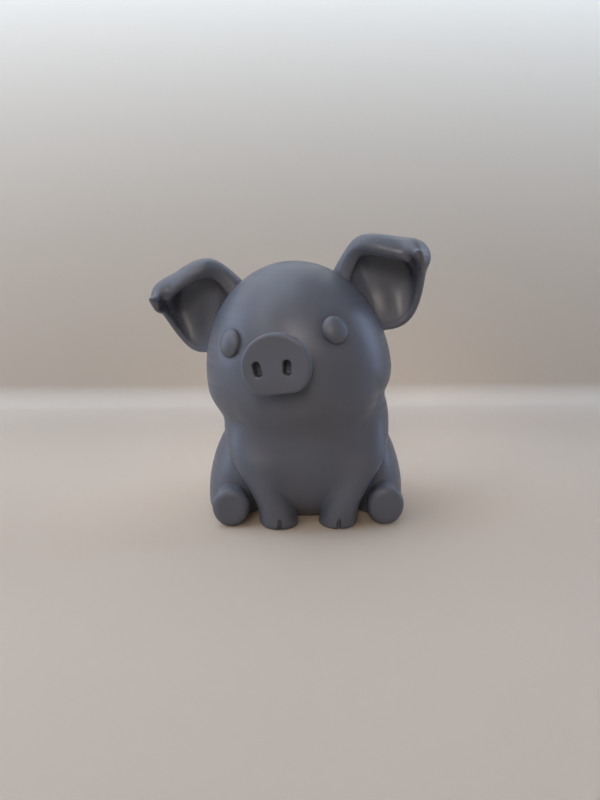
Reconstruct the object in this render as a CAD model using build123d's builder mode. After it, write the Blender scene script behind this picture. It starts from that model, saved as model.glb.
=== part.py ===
from build123d import *
import os

# A small sitting piglet, printed in plastic as a kit and glued together.
# The pig faces -Y and sits on Z = 0. Left and right are the pig's own, so its left side is +X.
# Each limb, ear and eye is a print of its own. It has a peg, a tab or its own root end that goes
# into a socket in its neighbour, and a saddle face that follows the neighbour's skin.
# All lengths are in millimetres and all angles in degrees.

# Head: an egg, wider than it is deep, turned to the pig's right and tilted
head_centre = (-1.6, 0, 30.2)
head_turn = 10.6
head_tilt = 8
head_half_width = 19.8
head_half_depth = 18.0
crown_height = 23.7
jaw_depth = 13.4
neck_drop = 7.8

# Torso: a pear whose level slices are ellipses: (height, half width, front, back)
torso_slices = [
    (0.0, 11.8, -6.8, 18.2),
    (3.0, 14.1, -10.4, 19.6),
    (7.0, 15.7, -12.7, 19.8),
    (12.0, 16.7, -14.0, 18.6),
    (17.0, 17.5, -14.6, 17.2),
    (22.0, 17.4, -15.3, 15.8),
    (25.5, 16.6, -16.5, 14.6),
    (29.0, 15.0, -17.3, 13.0),
]

# Haunch: an upright egg on each side of the rump, cut flat at the ground
haunch_centre = (13.9, 3.5, 8.0)
haunch_radii = (7.2, 12.0, 15.0)
haunch_lean = 14.5
haunch_seat = (18.4, 3.0, 7.0)

# Hind foot: a round stub that points forward, with a flat strip below
foot_centre = (16.0, 4.2)
foot_half_width = 3.95
foot_half_height = 4.4
foot_sole = -12.8
foot_length = 8.0
ankle_half_width = 3.3
ankle_half_height = 3.6
foot_edge = 1.8

# Foreleg: level slices: (height, sideways, forward, half width, half depth)
foreleg_slices = [
    (0.0, 6.0, -10.7, 4.1, 4.1),
    (3.5, 6.7, -10.5, 3.8, 4.1),
    (7.5, 8.4, -9.9, 3.9, 4.3),
    (11.0, 10.2, -9.0, 4.2, 4.7),
    (14.0, 11.1, -7.6, 4.4, 5.0),
    (18.0, 11.5, -5.2, 3.9, 4.4),
]
trotter_edge = 0.9
cleft_width = 1.2
cleft_height = 2.4
cleft_depth = 0.8
cleft_taper = 12

# Ear: a leaf whose top edge folds forward as a brim, in slices from root to tip, in the head's
# own frame. Each slice gives its topmost point and its bottom rim, how deep it is dished, its
# wall and how far the brim hangs.
ear_slices = [
    ((8.6, 5.5, 18.8), (15.6, 1.5, 6.6), 2.8, 2.2, 2.6),
    ((14.8, 3.3, 26.3), (19.3, 2.0, 6.4), 4.4, 2.1, 3.0),
    ((17.7, 0.1, 27.0), (24.5, 4.0, 7.6), 4.8, 1.9, 3.2),
    ((25.0, -2.0, 23.2), (28.7, 1.0, 16.8), 3.8, 1.7, 2.6),
    ((27.5, -5.0, 21.2), (28.8, -2.8, 17.0), 2.2, 1.2, 1.6),
    ((28.3, -7.6, 21.8), (28.6, -7.0, 19.4), 0.7, 0.5, 0.6),
]
ear_facing = (-0.5, -0.86, 0.13)
ear_rim = 0.7
ear_lip = 0.7
ear_tab_thickness = 1.3
ear_tab_width = 5.0

# Eye: an oval button on a round stem
eye_place = (10.4, 9.2)
eye_half_width = 2.6
eye_half_height = 2.8
eye_stand = 1.4
eye_stem_radius = 1.1
eye_stem_length = 4.0

# Snout: a short barrel with a round top and a flat chin, seen from the front
snout_half_width = 6.5
snout_widest = 4.9
snout_top = 10.9
snout_chin = -0.4
snout_chin_half = 3.7
snout_cheek = (5.3, 1.1)
snout_corner = 0.8
snout_reach = 23.5
snout_disc = 1.6
snout_barrel = 6.0
snout_flare = 12
snout_edge = 0.7
nostril_width = 1.45
nostril_height = 2.8
nostril_spread = 2.9
nostril_shift = -0.7
nostril_level = 4.5
nostril_depth = 1.6
nostril_lean = 6

# Tail: a thin curl on the rump: the corners of its path, rounded alike
tail_radius = 1.0
tail_path = [
    (0.0, 15.5, 9.0),
    (0.0, 21.4, 9.0),
    (2.9, 22.0, 10.8),
    (1.2, 22.4, 14.0),
    (-2.4, 22.8, 12.4),
    (-1.4, 23.6, 9.6),
    (0.8, 24.3, 9.2),
]
tail_bend = 1.1

# Pegs and sockets
glue_gap = 0.1
neck_peg_radius = 5.5
neck_peg_flat = 4.2
neck_peg_height = 8.0
haunch_peg_radius = 2.0
haunch_peg_length = 6.0
foot_peg_radius = 1.6
foot_peg_start = -11.0
foot_peg_length = 7.0
snout_peg_radius = 2.6
snout_peg_length = 5.0
overlap = 1.0

# The head's own frame: Z is the head's upright axis, and the snout points along -Y
head_frame = Plane(Pos(*head_centre) * Rot(Z=-head_turn) * Rot(Y=-head_tilt))
neck_plane = head_frame.offset(-neck_drop)


# Main forms, before anything is cut out of them. What sits on the head is in its own frame.
with BuildPart() as head_crown:
    Sphere(1, arc_size1=0, align=(Align.CENTER, Align.CENTER, Align.MIN))
    scale(by=(head_half_width, head_half_depth, crown_height))

with BuildPart() as head_jaw:
    Sphere(1, arc_size2=0, align=(Align.CENTER, Align.CENTER, Align.MAX))
    scale(by=(head_half_width, head_half_depth, jaw_depth))

with BuildPart() as head_form:
    add(head_crown.part)
    add(head_jaw.part)

with BuildPart() as torso_form:
    for height, half_width, front, back in torso_slices:
        with BuildSketch(Plane((0, (front + back) / 2, height))):
            Ellipse(half_width, (back - front) / 2)
    loft()

with BuildPart() as foreleg_form:
    for height, sideways, forward, half_width, half_depth in foreleg_slices:
        with BuildSketch(Plane((sideways, forward, height))):
            Ellipse(half_width, half_depth)
    loft()
    fillet(foreleg_form.edges().sort_by(Axis.Z)[0], trotter_edge)
    cleft_front = foreleg_slices[0][2] - foreleg_slices[0][4]
    with BuildSketch(Plane.XY):
        with Locations((foreleg_slices[0][1], cleft_front)):
            Ellipse(cleft_width / 2, cleft_depth)
    extrude(amount=cleft_height, taper=cleft_taper, mode=Mode.SUBTRACT)

with BuildPart() as haunch_egg:
    Sphere(1)
    scale(by=haunch_radii)

with BuildPart(Plane(Pos(*haunch_centre) * Rot(Y=-haunch_lean))) as haunch_form:
    add(haunch_egg.part)
    split(bisect_by=Plane.XY, keep=Keep.TOP)

with BuildPart() as foot_form:
    with BuildSketch(Plane.XZ.offset(-foot_sole)):
        with Locations(foot_centre):
            Ellipse(foot_half_width, foot_half_height)
    with BuildSketch(Plane.XZ.offset(-foot_sole - foot_length)):
        with Locations(foot_centre):
            Ellipse(ankle_half_width, ankle_half_height)
    loft()
    fillet(foot_form.edges().sort_by(Axis.Y)[0], foot_edge)
    split(bisect_by=Plane.XY, keep=Keep.TOP)

ear_normal = Vector(*ear_facing).normalized()
ear_wall_middles = []
with BuildPart() as ear_form:
    for top, bottom, dish, wall, brim in ear_slices:
        chord = Vector(*top) - Vector(*bottom)
        half = chord.length / 2
        rim = ear_rim * wall
        lip = ear_lip * brim
        slice_plane = Plane(
            Vector(*bottom) + chord / 2, x_dir=chord, z_dir=chord.cross(ear_normal)
        )
        ear_wall_middles.append(slice_plane.from_local_coords((0.3 * half, wall / 2 - dish, 0)))
        with BuildSketch(slice_plane):
            with BuildLine():
                ear_back = Spline(
                    (-half, 0),
                    (-0.6 * half, -0.85 * dish),
                    (0.35 * half, -dish),
                    (0.92 * half, -0.3 * dish),
                    (half - 0.25 * brim, 0.8 * lip),
                    (half - brim, lip),
                )
                ear_hollow = Spline(
                    (half - brim, lip - rim),
                    (half - wall, -0.1 * dish),
                    (0.3 * half, wall - dish),
                    (-0.5 * half, wall - 0.85 * dish),
                    (rim - half, 0),
                )
                ThreePointArc(
                    ear_back @ 1, (half - brim - rim / 2, lip - rim / 2), ear_hollow @ 0
                )
                ThreePointArc(ear_hollow @ 1, (rim / 2 - half, rim / 2), ear_back @ 0)
            make_face()
    loft()

with BuildPart() as snout_form:
    with BuildSketch(Plane.XZ.offset(snout_reach)) as snout_outline:
        with BuildLine():
            dome = TangentArc((0, snout_top), (snout_half_width, snout_widest), tangent=(1, 0))
            cheek = TangentArc(dome @ 1, snout_cheek, tangent=dome % 1)
            Line(cheek @ 1, (snout_chin_half, snout_chin))
            mirror(about=Plane.YZ)
            Line((-snout_chin_half, snout_chin), (snout_chin_half, snout_chin))
        make_face()
        levels = snout_outline.vertices().group_by(Axis.Y)
        fillet(levels[0] + levels[1], snout_corner)
    extrude(amount=-snout_disc)
    fillet(snout_form.faces().sort_by(Axis.Y)[0].edges(), snout_edge)
    extrude(snout_form.faces().sort_by(Axis.Y)[-1], amount=snout_barrel, taper=snout_flare)
    with BuildSketch(Plane.XZ.offset(snout_reach)):
        for side in (-1, 1):
            with Locations((nostril_shift + side * nostril_spread, nostril_level)):
                SlotOverall(nostril_height, nostril_width, rotation=90 + side * nostril_lean)
    extrude(amount=-nostril_depth, mode=Mode.SUBTRACT)

# Where an eye sits: a point on the head's skin and the way out of it
eye_sight = Axis((eye_place[0], -2 * head_half_depth, eye_place[1]), (0, 1, 0))
eye_point, eye_outward = head_form.part.find_intersection_points(eye_sight)[0]
eye_plane = Plane(eye_point, x_dir=Vector(0, 0, 1).cross(eye_outward), z_dir=eye_outward)

with BuildPart() as eye_button:
    Sphere(1)
    scale(by=(eye_half_width, eye_half_height, eye_stand))

with BuildPart(eye_plane) as eye_form:
    add(eye_button.part)


def keyed_circle(radius, flat):
    """Sketch a circle with one flat, so that a peg of this section fits only one way round."""
    Circle(radius)
    with Locations((0, flat + radius)):
        Rectangle(2 * radius, 2 * radius, mode=Mode.SUBTRACT)


def haunch_peg_plane(side):
    """The plane where a haunch peg starts inside the haunch, looking at the torso."""
    across, along, up = haunch_seat
    return Plane((side * across, along, up), z_dir=(-side, 0, 0))


# Torso, with the keyed neck peg on top, pockets for the forelegs, and sockets
with BuildPart() as torso:
    add(torso_form.part)
    split(bisect_by=neck_plane, keep=Keep.BOTTOM)
    add(foreleg_form.part, mode=Mode.SUBTRACT)
    add(foreleg_form.part.mirror(Plane.YZ), mode=Mode.SUBTRACT)
    with BuildSketch(neck_plane.offset(-overlap)):
        keyed_circle(neck_peg_radius, neck_peg_flat)
    extrude(amount=overlap + neck_peg_height)
    for side in (-1, 1):
        with BuildSketch(haunch_peg_plane(side)):
            Circle(haunch_peg_radius + glue_gap)
        extrude(amount=haunch_peg_length + glue_gap, mode=Mode.SUBTRACT)
    with BuildSketch(Plane.XZ.offset(glue_gap - tail_path[0][1])):
        with Locations((tail_path[0][0], tail_path[0][2])):
            Circle(tail_radius + glue_gap)
    extrude(amount=-2 * tail_path[0][1], mode=Mode.SUBTRACT)

# Forelegs: each is one column whose upper end sits in a pocket in the chest
with BuildPart() as left_foreleg:
    add(foreleg_form.part)

with BuildPart() as right_foreleg:
    add(foreleg_form.part.mirror(Plane.YZ))

# Haunches, with a peg into the torso and a socket for the foot
with BuildPart() as left_haunch:
    add(haunch_form.part)
    add(torso_form.part, mode=Mode.SUBTRACT)
    add(foreleg_form.part, mode=Mode.SUBTRACT)
    with BuildSketch(haunch_peg_plane(1)):
        Circle(haunch_peg_radius)
    extrude(amount=haunch_peg_length)
    with BuildSketch(Plane.XZ.offset(-foot_peg_start)):
        with Locations(foot_centre):
            Circle(foot_peg_radius + glue_gap)
    extrude(amount=-foot_peg_length - glue_gap, mode=Mode.SUBTRACT)

with BuildPart() as right_haunch:
    add(left_haunch.part.mirror(Plane.YZ))

# Hind feet, with a peg into the haunch
with BuildPart() as left_hind_foot:
    add(foot_form.part)
    add(haunch_form.part, mode=Mode.SUBTRACT)
    with BuildSketch(Plane.XZ.offset(-foot_peg_start)):
        with Locations(foot_centre):
            Circle(foot_peg_radius)
    extrude(amount=-foot_peg_length)

with BuildPart() as right_hind_foot:
    add(left_hind_foot.part.mirror(Plane.YZ))

# Tail: one bent rod whose straight root goes into the rump
with BuildPart() as tail:
    with BuildLine():
        curl = FilletPolyline(*tail_path, radius=tail_bend)
    with BuildSketch(Plane(curl @ 0, z_dir=curl % 0)):
        Circle(tail_radius)
    sweep(path=curl)
    with Locations(curl @ 1):
        Sphere(tail_radius)


def ear_tab_plane():
    """The plane of an ear tab, halfway between the wall's middles at the first two slices."""
    start, end = ear_wall_middles[:2]
    top, bottom = ear_slices[1][:2]
    seam = Vector(*top) - Vector(*bottom)
    return Plane((start + end) / 2, x_dir=end - start, z_dir=(end - start).cross(seam))


# The head's sockets, in its own frame: for the neck peg, snout, ears and eyes
ear_tab_length = (ear_wall_middles[1] - ear_wall_middles[0]).length
with BuildPart() as ear_tab_socket:
    with Locations(ear_tab_plane().location):
        Box(
            ear_tab_length + 2 * glue_gap,
            ear_tab_width + 2 * glue_gap,
            ear_tab_thickness + 2 * glue_gap,
        )

with BuildPart() as eye_stem_socket:
    with BuildSketch(eye_plane.offset(overlap)):
        Circle(eye_stem_radius + glue_gap)
    extrude(amount=-overlap - eye_stem_length - glue_gap)

with BuildPart() as head_sockets:
    with BuildSketch(Plane.XY.offset(-neck_drop)):
        keyed_circle(neck_peg_radius + glue_gap, neck_peg_flat + glue_gap)
    extrude(amount=neck_peg_height + glue_gap)
    with BuildSketch(Plane.XZ.offset(head_half_depth)):
        with Locations((0, nostril_level)):
            Circle(snout_peg_radius + glue_gap)
    extrude(amount=-snout_peg_length - glue_gap)
    for socket in (ear_tab_socket, eye_stem_socket):
        add(socket.part)
        add(socket.part.mirror(Plane.YZ))

# Ear, eye and snout, in the head's frame, each with its saddle face and its peg
with BuildPart() as ear_print:
    add(ear_form.part)
    add(head_form.part, mode=Mode.SUBTRACT)
    with Locations(ear_tab_plane().location):
        Box(ear_tab_length, ear_tab_width, ear_tab_thickness)

with BuildPart() as eye_print:
    add(eye_form.part)
    add(head_form.part, mode=Mode.SUBTRACT)
    with BuildSketch(eye_plane.offset(eye_stand / 2)):
        Circle(eye_stem_radius)
    extrude(amount=-eye_stand / 2 - eye_stem_length)

with BuildPart() as snout_print:
    add(snout_form.part)
    add(head_form.part, mode=Mode.SUBTRACT)
    with BuildSketch(Plane.XZ.offset(head_half_depth + overlap)):
        with Locations((0, nostril_level)):
            Circle(snout_peg_radius)
    extrude(amount=-overlap - snout_peg_length)

# The head and what sits on it, turned and tilted into place. The head also has the top of the
# chest and nape, above the neck seam.
with BuildPart() as head:
    add(head_form.part.moved(head_frame.location))
    add(torso_form.part)
    split(bisect_by=neck_plane, keep=Keep.TOP)
    add(head_sockets.part.moved(head_frame.location), mode=Mode.SUBTRACT)

with BuildPart(head_frame) as left_ear:
    add(ear_print.part)

with BuildPart(head_frame) as right_ear:
    add(ear_print.part.mirror(Plane.YZ))

with BuildPart(head_frame) as left_eye:
    add(eye_print.part)

with BuildPart(head_frame) as right_eye:
    add(eye_print.part.mirror(Plane.YZ))

with BuildPart(head_frame) as snout:
    add(snout_print.part)

pieces = {
    "torso": torso,
    "left_foreleg": left_foreleg,
    "right_foreleg": right_foreleg,
    "left_haunch": left_haunch,
    "right_haunch": right_haunch,
    "left_hind_foot": left_hind_foot,
    "right_hind_foot": right_hind_foot,
    "tail": tail,
    "head": head,
    "left_ear": left_ear,
    "right_ear": right_ear,
    "left_eye": left_eye,
    "right_eye": right_eye,
    "snout": snout,
}
os.makedirs("parts", exist_ok=True)
for name, piece in pieces.items():
    piece.part.label = name
    export_step(piece.part, f"parts/{name}.step")
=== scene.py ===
from math import cos, pi, radians, sin, tan

import bmesh
import bpy
import numpy as np
from mathutils import Matrix, Vector


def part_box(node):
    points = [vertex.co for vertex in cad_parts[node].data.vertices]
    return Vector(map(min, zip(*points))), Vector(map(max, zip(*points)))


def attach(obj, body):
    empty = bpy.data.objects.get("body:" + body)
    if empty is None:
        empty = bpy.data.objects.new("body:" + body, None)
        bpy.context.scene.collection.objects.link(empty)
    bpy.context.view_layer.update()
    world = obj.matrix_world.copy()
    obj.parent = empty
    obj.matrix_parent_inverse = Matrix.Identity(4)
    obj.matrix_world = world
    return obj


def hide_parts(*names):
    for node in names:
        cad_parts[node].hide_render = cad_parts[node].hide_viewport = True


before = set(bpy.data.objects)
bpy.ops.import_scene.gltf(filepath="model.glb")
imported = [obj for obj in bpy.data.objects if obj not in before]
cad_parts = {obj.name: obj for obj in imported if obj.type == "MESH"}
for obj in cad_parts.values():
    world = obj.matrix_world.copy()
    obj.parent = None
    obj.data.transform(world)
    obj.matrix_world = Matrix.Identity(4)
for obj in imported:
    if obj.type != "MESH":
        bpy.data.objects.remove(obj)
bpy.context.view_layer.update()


# Printed plastic
# The whole pig is PLA, printed in level layers of 0.2 mm and left as it came off the machine. So
# it is satin, a little glossy at grazing angles, and shows its layers as faint level lines.
MM = 0.001
PLASTIC_COLOUR = "#545761"
PLASTIC_COOL = "#545964"
PLASTIC_WARM = "#54565F"
DRIFT_SIZE = 9 * MM             # the colour drifts a little over patches of this size
DRIFT_ENDS = (0.35, 0.65)       # where in the noise the warm and the cool slate are full
LAYER_PITCH = 0.4 * MM          # twice the real layer, which is under one pixel
LAYER_DEPTH = 0.004 * MM
WAVE_PITCH = 0.314159           # from wave to wave, in metres, in a wave texture of scale 1
BAND_HEIGHT = 0.9 * MM          # a few layers together that came out a little proud or shy
BAND_DEPTH = 0.03 * MM
BAND_SQUASH = (0.02, 0.02, 1)   # a band keeps its depth a long way round the pig
BAND_ENDS = (0.3, 0.7)          # where in the noise a band is at its smoothest and roughest
GRAIN_SIZE = 0.35 * MM
GRAIN_DEPTH = 0.006 * MM
ROUGH_LOW = 0.38
ROUGH_HIGH = 0.5
PLASTIC_IOR = 1.46
GLOSS_COAT = 0.12               # the melted skin of the plastic, smoother than its layers
GLOSS_COAT_ROUGH = 0.26


def linear(colour):
    """A hex sRGB colour as the linear RGBA that the shader sockets take."""
    channels = [int(colour[i:i + 2], 16) / 255 for i in (1, 3, 5)]
    shares = [c / 12.92 if c <= 0.04045 else ((c + 0.055) / 1.055) ** 2.4 for c in channels]
    return shares + [1.0]


def new_material(name):
    """An empty node material and its tree."""
    material = bpy.data.materials.new(name)
    material.use_nodes = True
    material.node_tree.nodes.clear()
    return material, material.node_tree


def node(tree, kind, links=None, **settings):
    """Add a node. Settings are its own properties or, where it has none so named, its inputs.

    links maps an input's name to another node's output socket.
    """
    made = tree.nodes.new(kind)
    for name, value in settings.items():
        if hasattr(made, name):
            setattr(made, name, value)
        else:
            made.inputs[name.replace("_", " ")].default_value = value
    for place, socket in (links or {}).items():
        tree.links.new(socket, made.inputs[place])
    return made


def printed_plastic():
    """Satin PLA: a slate colour that drifts a little, level layer lines and uneven bands."""
    material, tree = new_material("printed PLA, satin slate")
    place = node(tree, "ShaderNodeTexCoord").outputs["Object"]
    clouds = node(tree, "ShaderNodeTexNoise", {"Vector": place}, Scale=1 / DRIFT_SIZE, Detail=2.0)
    drift = node(tree, "ShaderNodeValToRGB", {"Fac": clouds.outputs["Fac"]})
    warm, cool = drift.color_ramp.elements
    warm.position, cool.position = DRIFT_ENDS
    warm.color, cool.color = linear(PLASTIC_WARM), linear(PLASTIC_COOL)
    drift.color_ramp.elements.new(sum(DRIFT_ENDS) / 2).color = linear(PLASTIC_COLOUR)
    layers = node(
        tree, "ShaderNodeTexWave", {"Vector": place},
        wave_type="BANDS", bands_direction="Z", wave_profile="SIN",
        Scale=WAVE_PITCH / LAYER_PITCH, Distortion=0.0,
    )
    level = node(tree, "ShaderNodeMapping", {"Vector": place}, Scale=BAND_SQUASH)
    uneven = node(
        tree, "ShaderNodeTexNoise", {"Vector": level.outputs["Vector"]},
        Scale=1 / BAND_HEIGHT, Detail=3.0,
    )
    grain = node(tree, "ShaderNodeTexNoise", {"Vector": place}, Scale=1 / GRAIN_SIZE, Detail=1.0)
    skin = node(
        tree, "ShaderNodeBump", {"Height": layers.outputs["Fac"]},
        Strength=1.0, Distance=LAYER_DEPTH,
    )
    bands = node(
        tree, "ShaderNodeBump",
        {"Height": uneven.outputs["Fac"], "Normal": skin.outputs["Normal"]},
        Strength=1.0, Distance=BAND_DEPTH,
    )
    fine = node(
        tree, "ShaderNodeBump",
        {"Height": grain.outputs["Fac"], "Normal": bands.outputs["Normal"]},
        Strength=1.0, Distance=GRAIN_DEPTH,
    )
    gloss = node(
        tree, "ShaderNodeMapRange", {"Value": uneven.outputs["Fac"]},
        From_Min=BAND_ENDS[0], From_Max=BAND_ENDS[1], To_Min=ROUGH_LOW, To_Max=ROUGH_HIGH,
    )
    surface = node(
        tree, "ShaderNodeBsdfPrincipled",
        {
            "Base Color": drift.outputs["Color"],
            "Roughness": gloss.outputs["Result"],
            "Normal": fine.outputs["Normal"],
        },
        IOR=PLASTIC_IOR, Coat_Weight=GLOSS_COAT, Coat_Roughness=GLOSS_COAT_ROUGH,
    )
    node(tree, "ShaderNodeOutputMaterial", {"Surface": surface.outputs["BSDF"]})
    return material


plastic = printed_plastic()


# Body skin
# The chin, chest and forelegs are one smooth skin with no seam to see. It is worked out once, as a
# field: the distance to the skin at any point, less than zero inside. Lengths are in millimetres,
# angles in degrees. Each torso slice has its height, half width, front and back, and each foreleg
# slice its height, its place sideways and forwards, its half width and its half depth.
TORSO_SLICES = [
    (0.0, 11.8, -6.8, 18.2),
    (3.0, 14.1, -10.4, 19.6),
    (7.0, 15.7, -12.7, 19.8),
    (12.0, 16.7, -14.0, 18.6),
    (17.0, 17.5, -14.6, 17.2),
    (22.0, 17.4, -15.3, 15.8),
    (25.5, 16.6, -16.5, 14.6),
    (29.0, 15.0, -17.3, 13.0),
]
FORELEG_SLICES = [
    (0.0, 6.0, -10.7, 4.1, 4.1),
    (3.5, 6.7, -10.5, 3.8, 4.1),
    (7.5, 8.4, -9.9, 3.9, 4.3),
    (11.0, 10.2, -9.0, 4.2, 4.7),
    (14.0, 11.1, -7.6, 4.4, 5.0),
    (18.0, 11.5, -5.2, 3.9, 4.4),
    (24.0, 11.0, -1.5, 3.0, 3.4),
]
HEAD_CENTRE = np.array((-1.6, 0.0, 30.2))
HEAD_TURN = 10.6
HEAD_TILT = 8
HEAD_HALF_WIDTH = 19.8
HEAD_HALF_DEPTH = 18.0
CROWN_HEIGHT = 23.7
JAW_DEPTH = 13.4
NECK_DROP = 7.8
EYE_PLACE = (10.4, 9.2)
EYE_DENT = 4.4              # the radius of the shallow dent round each eye
EYE_DENT_DEPTH = 0.55
SEAT_EDGE = 0.5
TORSO_TOP_EDGE = 2.0
TROTTER_EDGE = 1.0
CREASE_BLEND = 0.8          # what every blend has at least
CHIN_BLEND = 3.6            # what the chin's blend into the chest has on top
CHIN_FRONT = (8.5, 14)      # how far forward that starts, and is full
SHOULDER_BLEND = 4.8        # the same for the forelegs' blend into the chest
SHOULDER_RISE = (5, 15)     # and the heights where it starts, and is full
SKIN_STEP = 0.42            # between the grid points where the skin is looked for
SLOPE_REACH = 0.02          # how far off a field is read for its slope
SLOPE_LEAST = 0.05          # keeps a point from leaping where a field is nearly level
SETTLE_ROUNDS = 4
SETTLE_MOST = 0.5           # the furthest that a point moves in one round
EASE_ROUNDS = 3
SHARP_ANGLE = 50
BODY = "root"

scene = bpy.context.scene
head_turned = Matrix.Rotation(radians(-HEAD_TURN), 3, "Z")
head_tilted = Matrix.Rotation(radians(-HEAD_TILT), 3, "Y")
HEAD_AXES = np.array(head_turned @ head_tilted)
eye_reach = 1 - (EYE_PLACE[0] / HEAD_HALF_WIDTH) ** 2 - (EYE_PLACE[1] / CROWN_HEIGHT) ** 2
eye_centre = np.array((EYE_PLACE[0], -HEAD_HALF_DEPTH * eye_reach ** 0.5, EYE_PLACE[1]))


def to_head(points):
    """Points in the head's own frame, where its crown is up and the snout points along -Y."""
    return (points - HEAD_CENTRE) @ HEAD_AXES


def from_head(points):
    """Points of the head's own frame, back in the pig's."""
    return points @ HEAD_AXES.T + HEAD_CENTRE


def curve_through(knots, values):
    """A natural cubic spline through rows of values at the knots, as a function of place."""
    knots, values = np.array(knots, float), np.array(values, float)
    gaps = np.diff(knots)
    rises = np.diff(values, axis=0) / gaps[:, None]
    system = np.eye(len(knots))
    pulls = np.zeros_like(values)
    for i in range(1, len(knots) - 1):
        system[i, i - 1:i + 2] = gaps[i - 1], 2 * (gaps[i - 1] + gaps[i]), gaps[i]
        pulls[i] = 6 * (rises[i] - rises[i - 1])
    bends = np.linalg.solve(system, pulls)

    def at(place):
        i = np.clip(np.searchsorted(knots, place) - 1, 0, len(gaps) - 1)
        gap = gaps[i][:, None]
        before = (knots[i + 1] - place)[:, None] / gap
        after = 1 - before
        bow = (before ** 3 - before) * bends[i] + (after ** 3 - after) * bends[i + 1]
        return before * values[i] + after * values[i + 1] + bow * gap * gap / 6

    return at


def melt(one, other, width):
    """The field of two forms run together over a band of the given width."""
    near = np.maximum(width - np.abs(one - other), 0)
    return np.minimum(one, other) - near * near / (4 * width)


def common(one, other, edge):
    """The field of what two forms share, with a rounded edge between them."""
    outside = np.hypot(np.maximum(one + edge, 0), np.maximum(other + edge, 0))
    return np.minimum(np.maximum(one, other), -edge) + outside


def egg_field(points, radii):
    """The field of an egg about the origin. Radii may be one row, or a row for each point."""
    reach = np.linalg.norm(points / radii, axis=1)
    slope = np.linalg.norm(points / radii ** 2, axis=1)
    return reach * (reach - 1) / np.maximum(slope, 1e-9)


def slice_field(points, curve, low, high):
    """The field of a column of ellipses, whose places and half sizes the curve gives."""
    place = curve(np.clip(points[:, 2], low, high))
    return egg_field(points[:, :2] - place[:, :2], place[:, 2:])


def fade(value, start, end):
    """0 before start, 1 after end, and a smooth ramp between."""
    ramp = np.clip((value - start) / (end - start), 0, 1)
    return ramp * ramp * (3 - 2 * ramp)


torso_curve = curve_through(
    [row[0] for row in TORSO_SLICES],
    [
        (0, (front + back) / 2, half_width, (back - front) / 2)
        for _, half_width, front, back in TORSO_SLICES
    ],
)
foreleg_curve = curve_through(
    [row[0] for row in FORELEG_SLICES], [row[1:] for row in FORELEG_SLICES]
)


def torso_field(points):
    """The pear-shaped torso with its flat seat, which runs on up inside the head."""
    top = TORSO_SLICES[-1][0]
    pear = slice_field(points, torso_curve, 0, top)
    return common(common(pear, points[:, 2] - top, TORSO_TOP_EDGE), -points[:, 2], SEAT_EDGE)


def head_field(points):
    """The egg of the head in its own frame, with a shallow dent round each eye."""
    heights = np.where(points[:, 2] > 0, CROWN_HEIGHT, JAW_DEPTH)
    widths = np.full_like(heights, HEAD_HALF_WIDTH)
    depths = np.full_like(heights, HEAD_HALF_DEPTH)
    radii = np.stack([widths, depths, heights], 1)
    folded = np.hstack([np.abs(points[:, :1]), points[:, 1:]])
    near = np.maximum(1 - ((folded - eye_centre) ** 2).sum(1) / EYE_DENT ** 2, 0)
    return egg_field(points, radii) + EYE_DENT_DEPTH * near * near


def foreleg_field(points):
    """Both forelegs: the same column on each side."""
    top = FORELEG_SLICES[-1][0]
    folded = np.hstack([np.abs(points[:, :1]), points[:, 1:]])
    column = slice_field(folded, foreleg_curve, 0, top)
    ends = np.maximum(-points[:, 2], points[:, 2] - top)
    return common(column, ends, TROTTER_EDGE)


def skin_field(points):
    """Torso, head and forelegs as one skin."""
    neck_blend = CREASE_BLEND + CHIN_BLEND * fade(-points[:, 1], *CHIN_FRONT)
    leg_blend = CREASE_BLEND + SHOULDER_BLEND * fade(points[:, 2], *SHOULDER_RISE)
    neck = melt(torso_field(points), head_field(to_head(points)), neck_blend)
    return melt(neck, foreleg_field(points), leg_blend)


def settled(points, field):
    """Points moved onto the skin of a field along its slope."""
    for _ in range(SETTLE_ROUNDS):
        value = field(points)
        steps = SLOPE_REACH * np.eye(3)
        slope = np.stack([field(points + step) - field(points - step) for step in steps], 1)
        slope /= 2 * SLOPE_REACH
        move = slope * (value / np.maximum((slope ** 2).sum(1), SLOPE_LEAST))[:, None]
        length = np.linalg.norm(move, axis=1, keepdims=True)
        points = points - move * np.minimum(1, SETTLE_MOST / np.maximum(length, 1e-9))
    return points


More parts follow.
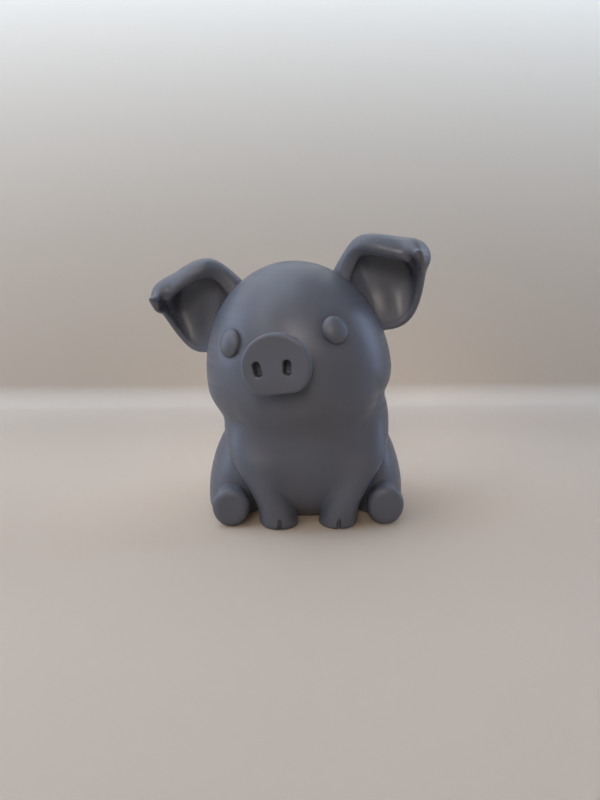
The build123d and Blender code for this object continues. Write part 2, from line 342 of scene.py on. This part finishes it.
def skin_quads(field, low, high, step):
    """The skin of a field as points and quads, with a point in each grid cell that it crosses."""
    axes = [np.arange(a - 2 * step, b + 3 * step, step) for a, b in zip(low, high)]
    grid = np.stack(np.meshgrid(*axes, indexing="ij"), -1)
    values = field(grid.reshape(-1, 3)).reshape(grid.shape[:3])
    inside = values < 0
    cells = tuple(n - 1 for n in inside.shape)
    total = np.zeros(cells + (3,))
    count = np.zeros(cells)
    quads = []
    for axis in range(3):
        along, across, over = axis, (axis + 1) % 3, (axis + 2) % 3
        here = [slice(None)] * 3
        there = [slice(None)] * 3
        here[along], there[along] = slice(None, -1), slice(1, None)
        start, end = values[tuple(here)], values[tuple(there)]
        crossed = np.argwhere(inside[tuple(here)] != inside[tuple(there)])
        keep = (crossed[:, across] > 0) & (crossed[:, over] > 0)
        keep &= (crossed[:, across] < cells[across]) & (crossed[:, over] < cells[over])
        crossed = crossed[keep]
        key = tuple(crossed.T)
        share = start[key] / (start[key] - end[key])
        point = grid[key].copy()
        point[:, along] += share * step
        around = []
        for back_across, back_over in ((0, 0), (1, 0), (1, 1), (0, 1)):
            cell = crossed.copy()
            cell[:, across] -= back_across
            cell[:, over] -= back_over
            np.add.at(total, tuple(cell.T), point)
            np.add.at(count, tuple(cell.T), 1)
            around.append(np.ravel_multi_index(tuple(cell.T), cells))
        ring = np.stack(around, 1)
        outward = inside[tuple(here)][key]
        quads.append(np.where(outward[:, None], ring, ring[:, ::-1]))
    quads = np.concatenate(quads)
    used = np.flatnonzero(count.ravel())
    renumber = np.zeros(count.size, int)
    renumber[used] = np.arange(len(used))
    points = (total.reshape(-1, 3)[used].T / count.ravel()[used]).T
    quads = renumber[quads]
    for _ in range(EASE_ROUNDS):
        points = settled(eased(points, quads), field)
    return points, quads


def eased(points, quads):
    """Points moved to the middle of their neighbours, which evens out the quads."""
    total = np.zeros_like(points)
    count = np.zeros(len(points))
    for i in range(4):
        for neighbour in (quads[:, (i + 1) % 4], quads[:, i - 1]):
            np.add.at(total, quads[:, i], points[neighbour])
            np.add.at(count, quads[:, i], 1)
    return total / count[:, None]


def mesh_object(name, points, faces):
    """A smooth mesh object from points in millimetres and the faces' rows of points."""
    corners = [[int(corner) for corner in face] for face in faces]
    mesh = bpy.data.meshes.new(name + "_print")
    mesh.from_pydata((np.asarray(points) * MM).tolist(), [], corners)
    mesh.materials.append(plastic)
    mesh.shade_smooth()
    piece = bpy.data.objects.new(mesh.name, mesh)
    scene.collection.objects.link(piece)
    return piece


def cut_by_plane(piece, point, normal):
    """Cut away the normal's side of a plane, given in millimetres, and close the cut."""
    shape = bmesh.new()
    shape.from_mesh(piece.data)
    bmesh.ops.bisect_plane(
        shape, geom=shape.verts[:] + shape.edges[:] + shape.faces[:], dist=1e-7,
        plane_co=Vector(point) * MM, plane_no=Vector(normal), clear_outer=True,
    )
    rim = [edge for edge in shape.edges if edge.is_boundary]
    caps = bmesh.ops.holes_fill(shape, edges=rim, sides=0)["faces"]
    bmesh.ops.triangulate(shape, faces=caps)
    shape.to_mesh(piece.data)
    shape.free()
    piece.data.set_sharp_from_angle(angle=radians(SHARP_ANGLE))


def dress(piece, *nodes):
    """Ride a finished piece on the pig's one body, in place of its plain CAD nodes."""
    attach(piece, BODY)
    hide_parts(*nodes)


def cad_box(*nodes):
    """The corners, in millimetres, of a box round some CAD nodes."""
    lows, highs = zip(*(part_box(name) for name in nodes))
    return np.min(lows, axis=0) / MM, np.max(highs, axis=0) / MM


skin_points, skin_faces = skin_quads(
    skin_field, *cad_box("torso", "head", "left_foreleg", "right_foreleg"), SKIN_STEP
)


# Torso
# A pear of PLA with a flat seat, which ends at the neck seam. Its chest has a pocket for each
# foreleg, and the keyed peg on its top is glued into the head.
neck_normal = HEAD_AXES[:, 2]
neck_point = HEAD_CENTRE - NECK_DROP * neck_normal

torso = mesh_object("torso", skin_points, skin_faces)
cut_by_plane(torso, neck_point, neck_normal)


# Forelegs
# Two leaning columns of PLA that end in cleft trotters. Each is glued up into its pocket in the
# chest, so its seam is a curve across the chest that the skin hides.
POCKET_GROWTH = 0.5
POCKET_TOP = 14
POCKET_TOP_EDGE = 2.0
POCKET_BELOW = -3
POCKET_STEP = 0.8
CLEFT_RADII = (0.6, 1.0, 2.6)


def pocket_field(points):
    """A foreleg's column, a little larger, which cuts the leg out of the skin."""
    column = slice_field(points, foreleg_curve, 0, POCKET_TOP + POCKET_TOP_EDGE)
    return common(column - POCKET_GROWTH, points[:, 2] - POCKET_TOP, POCKET_TOP_EDGE)


def worked_mesh(piece):
    """What a piece's modifiers make of it, as a plain mesh."""
    worked = piece.evaluated_get(bpy.context.evaluated_depsgraph_get())
    return bpy.data.meshes.new_from_object(worked)


def keep_worked(piece):
    """Give a piece the mesh that its modifiers make of it, and take them off."""
    old = piece.data
    name = old.name
    piece.data = worked_mesh(piece)
    piece.modifiers.clear()
    bpy.data.meshes.remove(old)
    piece.data.name = name


def cut_by_piece(piece, cutter, operation):
    """Cut a piece with another object, or keep what the two share."""
    cut = piece.modifiers.new("cut", "BOOLEAN")
    cut.operation = operation
    cut.solver = "EXACT"
    cut.object = cutter
    keep_worked(piece)
    piece.data.set_sharp_from_angle(angle=radians(SHARP_ANGLE))


def cleft_cutter(side):
    """An egg at the front of a trotter's sole, which cuts the notch between its two toes."""
    level, across, forward, _, half_depth = FORELEG_SLICES[0]
    bpy.ops.mesh.primitive_uv_sphere_add(segments=48, ring_count=24, radius=1)
    cutter = bpy.context.object
    cutter.location = Vector((side * across, forward - half_depth, level)) * MM
    cutter.scale = Vector(CLEFT_RADII) * MM
    bpy.context.view_layer.update()
    return cutter


leg_low, leg_high = cad_box("left_foreleg")
pocket_low = (leg_low[0] - 1, leg_low[1] - 1, POCKET_BELOW)
pocket_points, pocket_faces = skin_quads(pocket_field, pocket_low, leg_high + 1, POCKET_STEP)
for side, name in ((1, "left_foreleg"), (-1, "right_foreleg")):
    cutter = mesh_object("cutter", pocket_points * (side, 1, 1), pocket_faces[:, ::side])
    leg = mesh_object(name, skin_points, skin_faces)
    cut_by_piece(leg, cutter, "INTERSECT")
    cut_by_piece(torso, cutter, "DIFFERENCE")
    bpy.data.objects.remove(cutter)
    cleft = cleft_cutter(side)
    cut_by_piece(leg, cleft, "DIFFERENCE")
    bpy.data.objects.remove(cleft)
    dress(leg, name)
dress(torso, "torso")


# Haunches
# Egg-shaped thighs of PLA that lie against the rump, flat below where they rest. Each has a peg
# that is glued into the torso.
HAUNCH_CENTRE = np.array((13.9, 3.5, 8.0))
HAUNCH_RADII = np.array((7.2, 12.0, 15.0))
HAUNCH_LEAN = 14.5
HAUNCH_BELOW = (11, 13, 8)      # from its centre to the low corner of a box that holds it
HAUNCH_ABOVE = (11, 13, 16.5)   # and to the high corner
HAUNCH_STEP = 0.5

haunch_axes = np.array(Matrix.Rotation(radians(-HAUNCH_LEAN), 3, "Y"))


def haunch_field(points):
    """The left haunch's egg, cut at the ground."""
    egg = egg_field((points - HAUNCH_CENTRE) @ haunch_axes, HAUNCH_RADII)
    return common(egg, -points[:, 2], SEAT_EDGE)


haunch_points, haunch_faces = skin_quads(
    haunch_field, HAUNCH_CENTRE - HAUNCH_BELOW, HAUNCH_CENTRE + HAUNCH_ABOVE, HAUNCH_STEP
)
for side, name in ((1, "left_haunch"), (-1, "right_haunch")):
    dress(mesh_object(name, haunch_points * (side, 1, 1), haunch_faces[:, ::side]), name)


# Hind feet
# Round PLA stubs that stick out forwards under the thighs, with a softly rounded sole. Each is
# pegged and glued into its haunch.
FOOT_CENTRE = (16.0, 4.2)
FOOT_HALF = (3.95, 4.4)
ANKLE_HALF = (3.3, 3.6)
FOOT_SOLE = -12.8
FOOT_LENGTH = 8.0
FOOT_EDGE = 1.8
FOOT_REST_EDGE = 0.3
FOOT_OVERLAP = (0, 1, 0)        # how far it runs on inside the haunch
FOOT_STEP = 0.3


def foot_field(points):
    """The left hind foot: a tapered round stub, cut at the ground."""
    along = np.clip((points[:, 1] - FOOT_SOLE) / FOOT_LENGTH, 0, 1)[:, None]
    halves = np.array(FOOT_HALF) * (1 - along) + np.array(ANKLE_HALF) * along
    round_stub = egg_field(points[:, [0, 2]] - FOOT_CENTRE, halves)
    ends = np.maximum(FOOT_SOLE - points[:, 1], points[:, 1] - FOOT_SOLE - FOOT_LENGTH)
    return common(common(round_stub, ends, FOOT_EDGE), -points[:, 2], FOOT_REST_EDGE)


foot_low, foot_high = cad_box("left_hind_foot")
foot_points, foot_faces = skin_quads(foot_field, foot_low, foot_high + FOOT_OVERLAP, FOOT_STEP)
for side, name in ((1, "left_hind_foot"), (-1, "right_hind_foot")):
    dress(mesh_object(name, foot_points * (side, 1, 1), foot_faces[:, ::side]), name)


# Head
# An egg of PLA, wider than it is deep, turned and tilted. It is glued over the torso's neck peg,
# and the top of the chest above the seam belongs to it.
head = mesh_object("head", skin_points, skin_faces)
cut_by_plane(head, neck_point, -neck_normal)
dress(head, "head")


# Ears
# Each ear is a dished leaf of PLA with a tab that is glued into the head. Its top edge rolls
# forward as a brim over the hollow, its lower edge is a rounded rim, and it ends in a blunt nub.
# Slices from root to tip, in the head's frame: top, bottom, dish, wall, brim and rim.
EAR_SLICES = [
    ((8.6, 5.5, 18.8), (15.6, 1.5, 6.6), 2.8, 2.2, 4.4, 1.6),
    ((14.8, 3.3, 26.3), (19.3, 2.0, 6.4), 4.4, 2.1, 4.1, 1.6),
    ((17.7, 0.1, 27.0), (24.5, 4.0, 7.6), 4.8, 1.9, 3.8, 1.9),
    ((25.0, -2.0, 23.6), (28.7, 1.0, 16.8), 3.8, 1.7, 3.3, 2.9),
    ((27.0, -4.4, 22.2), (28.2, -2.6, 17.8), 1.2, 1.4, 2.0, 2.0),
    ((27.3, -6.0, 21.4), (27.6, -5.6, 19.9), 1.0, 1.0, 0.8, 0.8),
]
EAR_FACING = np.array((-0.5, -0.86, 0.13))
EAR_TIP_FACING = np.array((-1.0, 0.0, 0.1))     # the tip curls round towards the front
EAR_LIP = 0.7                   # how far the lip stands forward, as a share of the brim
EAR_LIP_WALL = 0.7              # how thick the lip is, as a share of the wall
EAR_CORNER = 3.4                # how much wider the brim is in the corner beside the head
EAR_NUB = 1.15
EAR_BACK_POINTS = 44
EAR_HOLLOW_POINTS = 40
EAR_LIP_POINTS = 5
EAR_RIM_POINTS = 7
EAR_RINGS = 96
EAR_CAP_RINGS = 6
EAR_GRAIN = 0.25
EAR_EASE = 22
# Where along the ear, as shares of its length, each change starts and is full
LIFT_SPAN = (0.5, 1)
CURL_SPAN = (0.66, 0.92)
BRIM_FREE_SPAN = (0.13, 0.23)
BRIM_CLOSE_SPAN = (0.74, 0.95)
HOLLOW_DEEP_SPAN = (0.3, 0.42)
HOLLOW_CLOSE_SPAN = (0.56, 0.7)
HOLLOW_FIRST_DEPTH = 0.75
CORNER_END = 0.36
CORNER_LENGTH = 0.2
NUB_SPAN = (0.78, 1)


def spline_points(corners, count):
    """Points along a smooth curve through the corners, at even shares of its length."""
    corners = np.array(corners, float)
    reach = np.concatenate([[0], np.cumsum(np.linalg.norm(np.diff(corners, axis=0), axis=1))])
    return curve_through(reach, corners)(np.linspace(0, reach[-1], count))


def arc_points(start, end, count):
    """Points between two ends on the half circle that lies to the right of the way across."""
    start, end = np.array(start), np.array(end)
    middle, arm = (start + end) / 2, (start - end) / 2
    turn = np.array((-arm[1], arm[0]))
    angles = np.linspace(0, pi, count + 2)[1:-1]
    return [middle + arm * cos(a) + turn * sin(a) for a in angles]


def ear_outline(half, dish, wall, brim, rim, corner, rolled, opened):
    """One slice of the ear, closed: the back, the lip, the hollow and the lower rim.

    corner widens the brim, rolled is how far it stands free of the hollow, and opened how deep the
    hollow is, both 0 to 1.
    """
    lip, lip_wall = EAR_LIP * brim, EAR_LIP_WALL * wall
    high, low = half - brim - corner, rim - half
    drop = high - low
    plain, shut = 1 - rolled, rolled * (1 - opened)
    back = spline_points([
        (-half, 0),                             # the lower rim
        (-0.6 * half, -0.85 * dish),
        (0.35 * half, -dish),                   # the deepest of the dish
        (0.92 * half, -0.35 * dish),
        (half - 0.15 * brim, 0.5 * lip),        # over the brim
        (half - 0.55 * brim, 1.05 * lip),
        (high, 0.95 * lip),                     # the edge of the lip
    ], EAR_BACK_POINTS)
    under_brim = lip * (0.8 * plain + 0.25 * shut) - 0.1 * dish * opened
    upper_hollow = lip * (0.5 * plain + 0.2 * shut) + (wall - dish) * opened
    lower_hollow = lip * (0.3 * plain + 0.1 * shut) + (wall - 0.85 * dish) * opened
    hollow = spline_points([
        (high, 0.95 * lip - lip_wall * rolled),
        (high + (half - wall - high) * opened, under_brim),
        (high - 0.22 * drop, upper_hollow),
        (low + 0.24 * drop, lower_hollow),
        (low, 0),
    ], EAR_HOLLOW_POINTS)
    return np.concatenate([
        back, arc_points(back[-1], hollow[0], EAR_LIP_POINTS),
        hollow, arc_points(hollow[-1], back[0], EAR_RIM_POINTS),
    ])


def ear_rings(lift):
    """The ear's outline at even steps from root to tip, in the head's frame.

    lift moves the tip up, by so many millimetres.
    """
    rows = np.array([np.concatenate([top, bottom, sizes]) for top, bottom, *sizes in EAR_SLICES])
    middles = (rows[:, :3] + rows[:, 3:6]) / 2
    reach = np.concatenate([[0], np.cumsum(np.linalg.norm(np.diff(middles, axis=0), axis=1))])
    shares = np.linspace(0, 1, EAR_RINGS)
    rings = []
    for share, row in zip(shares, curve_through(reach, rows)(shares * reach[-1])):
        raised = np.array((0, 0, lift * fade(share, *LIFT_SPAN)))
        top, bottom, sizes = row[:3] + raised, row[3:6] + raised, row[6:]
        curl = fade(share, *CURL_SPAN)
        facing = EAR_FACING * (1 - curl) + EAR_TIP_FACING * curl
        chord = top - bottom
        upward = chord / np.linalg.norm(chord)
        across = np.cross(chord, facing)
        across /= np.linalg.norm(across)
        half = np.linalg.norm(chord) / 2
        free = fade(share, *BRIM_FREE_SPAN)
        rolled = free * (1 - fade(share, *BRIM_CLOSE_SPAN))
        deeper = (1 - HOLLOW_FIRST_DEPTH) * fade(share, *HOLLOW_DEEP_SPAN)
        opened = free * (HOLLOW_FIRST_DEPTH + deeper) * (1 - fade(share, *HOLLOW_CLOSE_SPAN))
        rooted = np.clip((CORNER_END - share) / CORNER_LENGTH, 0, 1)
        corner = EAR_CORNER * (1 - np.sqrt(1 - rooted ** 2))
        outline = ear_outline(half, *sizes, corner, rolled, opened)
        angles = np.linspace(0, 2 * pi, len(outline), endpoint=False)
        nub = np.stack([-half * np.cos(angles), -EAR_NUB * np.sin(angles)], 1)
        outline += (nub - outline) * fade(share, *NUB_SPAN)
        middle = (top + bottom) / 2
        rings.append(middle + outline[:, :1] * upward + outline[:, 1:] * np.cross(across, upward))
    last = rings[-1].mean(0)
    outward = last - rings[-4].mean(0)
    outward *= EAR_NUB / np.linalg.norm(outward)
    turns = np.linspace(0, pi / 2, EAR_CAP_RINGS + 2)[1:-1]
    caps = [last + (rings[-1] - last) * cos(turn) + outward * sin(turn) for turn in turns]
    return np.array(rings + caps)


def tube_faces(rings, around):
    """Quads between rings of points, with a face over each end."""
    index = np.arange(rings * around).reshape(rings, around)
    ahead = np.roll(index, -1, axis=1)
    quads = np.stack([index[:-1], ahead[:-1], ahead[1:], index[1:]], -1).reshape(-1, 4)
    return quads.tolist() + [index[0][::-1].tolist(), index[-1].tolist()]


def soften(piece, grain, rounds):
    """Rebuild a closed piece in small even facets and ease them, which rounds its edges off."""
    even = piece.modifiers.new("even", "REMESH")
    even.mode = "VOXEL"
    even.voxel_size = grain * MM
    even.use_smooth_shade = True
    ease = piece.modifiers.new("ease", "SMOOTH")
    ease.factor = 0.5
    ease.iterations = rounds
    keep_worked(piece)


for side, name, lift in ((1, "left_ear", 0.5), (-1, "right_ear", -1.2)):
    ear_grid = ear_rings(lift)
    points = from_head(ear_grid.reshape(-1, 3) * (side, 1, 1))
    faces = [face[::side] for face in tube_faces(*ear_grid.shape[:2])]
    ear = mesh_object(name, points, faces)
    soften(ear, EAR_GRAIN, EAR_EASE)
    dress(ear, name)


# Eyes
# Oval buttons of PLA, domed, that stand out of the head with a crisp edge all round. A stem behind
# each is glued into the head.
EYE_RADII = np.array((2.6, 2.8, 1.4))
EYE_STEP = 0.18

eye_outward = eye_centre / np.array((HEAD_HALF_WIDTH, HEAD_HALF_DEPTH, CROWN_HEIGHT)) ** 2
eye_outward /= np.linalg.norm(eye_outward)
eye_sideways = np.cross((0, 0, 1), eye_outward)
eye_sideways /= np.linalg.norm(eye_sideways)
eye_axes = np.stack([eye_sideways, np.cross(eye_outward, eye_sideways), eye_outward], 1)
eye_points, eye_faces = skin_quads(
    lambda points: egg_field(points, EYE_RADII), -EYE_RADII, EYE_RADII, EYE_STEP
)
for side, name in ((1, "left_eye"), (-1, "right_eye")):
    points = from_head((eye_points @ eye_axes.T + eye_centre) * (side, 1, 1))
    dress(mesh_object(name, points, eye_faces[:, ::side]), name)


# Snout
# A short flared barrel of PLA, pegged and glued into the face. Its flat disc in front is round
# above and flat at the chin, with a rounded rim and two upright nostrils.
SNOUT_HALF_WIDTH = 6.5
SNOUT_WIDEST = 4.9
SNOUT_TOP = 10.9
SNOUT_BELOW = 6.6               # from the widest level down to where the egg would end
SNOUT_CHIN = -0.4
SNOUT_CORNER = 0.8
SNOUT_REACH = 23.5
SNOUT_DISC = 1.6
SNOUT_BARREL = 6.0
SNOUT_FLARE = tan(radians(12))
SNOUT_EDGE = 0.7
NOSTRIL_HALF_WIDTH = 0.75
NOSTRIL_HEIGHT = 2.9
NOSTRIL_SPREAD = 2.75
NOSTRIL_SHIFT = -0.7
NOSTRIL_SLOPE = 0.055           # how far they drop for each millimetre to the pig's left
NOSTRIL_LEVEL = 4.5
NOSTRIL_DEPTH = 2.8
NOSTRIL_LEAN = radians(6)
NOSTRIL_EDGE = 0.25
NOSTRIL_FLOOR_EDGE = 0.3
SNOUT_STEP = 0.18


def snout_field(points):
    """The snout in the head's frame."""
    heights = np.where(points[:, 2] > SNOUT_WIDEST, SNOUT_TOP - SNOUT_WIDEST, SNOUT_BELOW)
    halves = np.stack([np.full_like(heights, SNOUT_HALF_WIDTH), heights], 1)
    dome = egg_field(points[:, [0, 2]] - (0, SNOUT_WIDEST), halves)
    outline = common(dome, SNOUT_CHIN - points[:, 2], SNOUT_CORNER)
    behind = points[:, 1] + SNOUT_REACH
    sides = outline + SNOUT_FLARE * np.maximum(behind - SNOUT_DISC, 0)
    block = common(sides, np.maximum(-behind, behind - SNOUT_DISC - SNOUT_BARREL), SNOUT_EDGE)
    across = np.abs(points[:, 0] - NOSTRIL_SHIFT) - NOSTRIL_SPREAD
    up = points[:, 2] - NOSTRIL_LEVEL + NOSTRIL_SLOPE * (points[:, 0] - NOSTRIL_SHIFT)
    leaned = across * cos(NOSTRIL_LEAN) - up * sin(NOSTRIL_LEAN)
    raised = up * cos(NOSTRIL_LEAN) + across * sin(NOSTRIL_LEAN)
    beyond = np.maximum(np.abs(raised) - (NOSTRIL_HEIGHT / 2 - NOSTRIL_HALF_WIDTH), 0)
    slot = np.hypot(leaned, beyond) - NOSTRIL_HALF_WIDTH
    hole = common(slot, behind - NOSTRIL_DEPTH, NOSTRIL_FLOOR_EDGE)
    return common(block, -hole, NOSTRIL_EDGE)


snout_low = np.array((-SNOUT_HALF_WIDTH, -SNOUT_REACH, SNOUT_CHIN))
snout_high = np.array((SNOUT_HALF_WIDTH, -SNOUT_REACH + SNOUT_DISC + SNOUT_BARREL, SNOUT_TOP))
snout_points, snout_faces = skin_quads(snout_field, snout_low, snout_high, SNOUT_STEP)
dress(mesh_object("snout", from_head(snout_points), snout_faces), "snout")


# Tail
# A thin round curl of PLA, printed in one piece and thinner towards its tip. Its straight root is
# glued into the rump.
TAIL_RADIUS = 1.0
TAIL_TIP_SHARE = 0.62
TAIL_THINS_FROM = 0.35          # the share of its length that keeps the full radius
TAIL_RINGS = 90
TAIL_SIDES = 32
TAIL_PATH = [
    (0.0, 15.5, 9.0),
    (0.0, 21.4, 9.0),
    (2.9, 22.0, 10.8),
    (1.2, 22.4, 14.0),
    (-2.4, 22.8, 12.4),
    (-1.4, 23.6, 9.6),
    (0.8, 24.3, 9.2),
]


def tail_tree():
    """Node tree that sweeps a round section along a curve, thinner towards its end."""
    tree = bpy.data.node_groups.new("tail curl", "GeometryNodeTree")
    tree.interface.new_socket("Path", in_out="INPUT", socket_type="NodeSocketGeometry")
    for name, value in (("Root Radius", TAIL_RADIUS * MM), ("Tip Share", TAIL_TIP_SHARE)):
        socket = tree.interface.new_socket(name, in_out="INPUT", socket_type="NodeSocketFloat")
        socket.default_value = value
    tree.interface.new_socket("Material", in_out="INPUT", socket_type="NodeSocketMaterial")
    tree.interface.new_socket("Tail", in_out="OUTPUT", socket_type="NodeSocketGeometry")
    given = node(tree, "NodeGroupInput")
    even = node(
        tree, "GeometryNodeResampleCurve", {"Curve": given.outputs["Path"]},
        mode="COUNT", Count=TAIL_RINGS,
    )
    share = node(tree, "GeometryNodeSplineParameter")
    taper = node(
        tree, "ShaderNodeMapRange",
        {"Value": share.outputs["Factor"], "To Max": given.outputs["Tip Share"]},
        From_Min=TAIL_THINS_FROM, From_Max=1.0, To_Min=1.0,
    )
    sized = node(
        tree, "GeometryNodeSetCurveRadius",
        {"Curve": even.outputs["Curve"], "Radius": taper.outputs["Result"]},
    )
    ring = node(
        tree, "GeometryNodeCurvePrimitiveCircle", {"Radius": given.outputs["Root Radius"]},
        Resolution=TAIL_SIDES,
    )
    swept = node(
        tree, "GeometryNodeCurveToMesh",
        {"Curve": sized.outputs["Curve"], "Profile Curve": ring.outputs["Curve"]},
        Fill_Caps=True,
    )
    smooth = node(tree, "GeometryNodeSetShadeSmooth", {"Geometry": swept.outputs["Mesh"]})
    real = node(tree, "GeometryNodeRealizeInstances", {"Geometry": smooth.outputs["Geometry"]})
    finished = node(
        tree, "GeometryNodeSetMaterial",
        {"Geometry": real.outputs["Geometry"], "Material": given.outputs["Material"]},
    )
    node(tree, "NodeGroupOutput", {"Tail": finished.outputs["Geometry"]})
    return tree


def grown_from(path, tree, name, values):
    """Run a node tree on a path and keep the result as a plain mesh object."""
    maker = path.modifiers.new("maker", "NODES")
    maker.node_group = tree
    for item in tree.interface.items_tree:
        if item.in_out == "INPUT" and item.name in values:
            maker[item.identifier] = values[item.name]
    path.update_tag()
    mesh = worked_mesh(path)
    mesh.name = name
    bpy.data.objects.remove(path)
    piece = bpy.data.objects.new(name, mesh)
    scene.collection.objects.link(piece)
    return piece


path_data = bpy.data.curves.new("tail path", "CURVE")
path_data.dimensions = "3D"
path_data.resolution_u = 16
spline = path_data.splines.new("NURBS")
spline.points.add(len(TAIL_PATH) - 1)
for point, place in zip(spline.points, TAIL_PATH):
    point.co = (*(Vector(place) * MM), 1)
spline.order_u = 3
spline.use_endpoint_u = True
tail_path = bpy.data.objects.new(path_data.name, path_data)
scene.collection.objects.link(tail_path)
tail = grown_from(tail_path, tail_tree(), "tail_print", {"Material": plastic})
dress(tail, "tail")


# Floor and backdrop
# One sheet of pale, matt painted board that lies flat under the pig and turns up into a wall
# behind it. Its lengths are in metres.
FLOOR_COLOUR = "#C8B9A8"
WALL_DISTANCE = 0.11
SWEEP_RADIUS = 0.008
SWEEP_STEPS = 24
STAGE_REACH = 1.2


def stage_sheet():
    """The floor and wall as one smooth sheet."""
    profile = [(-STAGE_REACH, 0.0)]
    for step in range(SWEEP_STEPS + 1):
        angle = step / SWEEP_STEPS * pi / 2
        profile.append((
            WALL_DISTANCE - SWEEP_RADIUS + SWEEP_RADIUS * sin(angle),
            SWEEP_RADIUS - SWEEP_RADIUS * cos(angle),
        ))
    profile.append((WALL_DISTANCE, STAGE_REACH))
    points = [(x, y, z) for y, z in profile for x in (-STAGE_REACH, STAGE_REACH)]
    faces = [(2 * i, 2 * i + 1, 2 * i + 3, 2 * i + 2) for i in range(len(profile) - 1)]
    mesh = bpy.data.meshes.new("floor")
    mesh.from_pydata(points, [], faces)
    mesh.shade_smooth()
    return mesh


sheet_material, tree = new_material("painted board, matt pale")
surface = node(
    tree, "ShaderNodeBsdfPrincipled", Base_Color=linear(FLOOR_COLOUR), Roughness=0.8, IOR=1.45
)
node(tree, "ShaderNodeOutputMaterial", {"Surface": surface.outputs["BSDF"]})
floor = bpy.data.objects.new("floor", stage_sheet())
floor.data.materials.append(sheet_material)
scene.collection.objects.link(floor)


# Camera
# It looks a little down at the pig from close by, as a phone does. The sensor's width lies along
# the frame's longer side.
VIEW_TALL = 800
FOCAL_PIXELS = 640
SENSOR_WIDTH = 36
CAMERA_PLACE = (-6.15, -136.56, 52.3)
CAMERA_PITCH = 11.65
CAMERA_TURN = -2.0

lens = bpy.data.cameras.new("camera")
lens.sensor_width = SENSOR_WIDTH
lens.lens = SENSOR_WIDTH * FOCAL_PIXELS / VIEW_TALL
lens.clip_start = 0.01
lens.clip_end = 10
camera = bpy.data.objects.new("camera", lens)
camera.location = Vector(CAMERA_PLACE) * MM
camera.rotation_euler = (radians(90 - CAMERA_PITCH), 0, radians(CAMERA_TURN))
scene.collection.objects.link(camera)
scene.camera = camera


# Lamps
# Seven soft panels: a large one above, a long one for the wall, a tall narrow one at the upper
# left that draws the streak on the forehead, a cool one on each side, and two weak warm ones in
# front.
SKY_COLOUR = "#E6EAEE"
SKY_STRENGTH = 0.22


def soft_lamp(name, place, target, size, power, colour, roll=0, spread=180):
    """A rectangular lamp at a place in metres, facing its target; roll and spread in degrees."""
    light = bpy.data.lights.new(name, "AREA")
    light.shape = "RECTANGLE"
    light.size, light.size_y = size
    light.energy = power
    light.color = linear(colour)[:3]
    light.spread = radians(spread)
    lamp = bpy.data.objects.new(name, light)
    lamp.location = place
    lamp.rotation_euler = (Vector(target) - Vector(place)).to_track_quat("-Z", "Y").to_euler()
    lamp.rotation_euler.rotate_axis("Z", radians(roll))
    scene.collection.objects.link(lamp)


soft_lamp("top", (-0.12, 0.04, 0.42), (0, 0, 0.02), (0.4, 0.3), 1.0, "#DCE9FF")
soft_lamp("wall", (0, 0.03, 0.30), (0, 0.15, 0.18), (0.8, 0.06), 1.55, "#C1DFFF", spread=70)
soft_lamp("window", (-0.385, -0.25, 0.386), (0, 0, 0.03), (0.025, 0.4), 0.45, "#FFFFFF", roll=33)
soft_lamp("left", (-0.34, 0.03, 0.15), (0, 0, 0.03), (0.16, 0.28), 0.46, "#C6DCFF")
soft_lamp("right", (0.33, 0.11, 0.15), (0, 0, 0.03), (0.2, 0.3), 0.84, "#B4D0FF")
soft_lamp("front", (-0.02, -0.5, 0.24), (0, -0.03, 0.03), (0.3, 0.2), 0.26, "#FFE2C8")
soft_lamp(
    "face", (-0.03, -0.22, 0.16), (0, -0.02, 0.044), (0.1, 0.08), 0.0078, "#FFF0E4", spread=20
)

world = bpy.data.worlds.new("world")
world.use_nodes = True
sky = world.node_tree.nodes["Background"].inputs
sky["Color"].default_value = linear(SKY_COLOUR)
sky["Strength"].default_value = SKY_STRENGTH
scene.world = world
scene.view_settings.view_transform = "Standard"
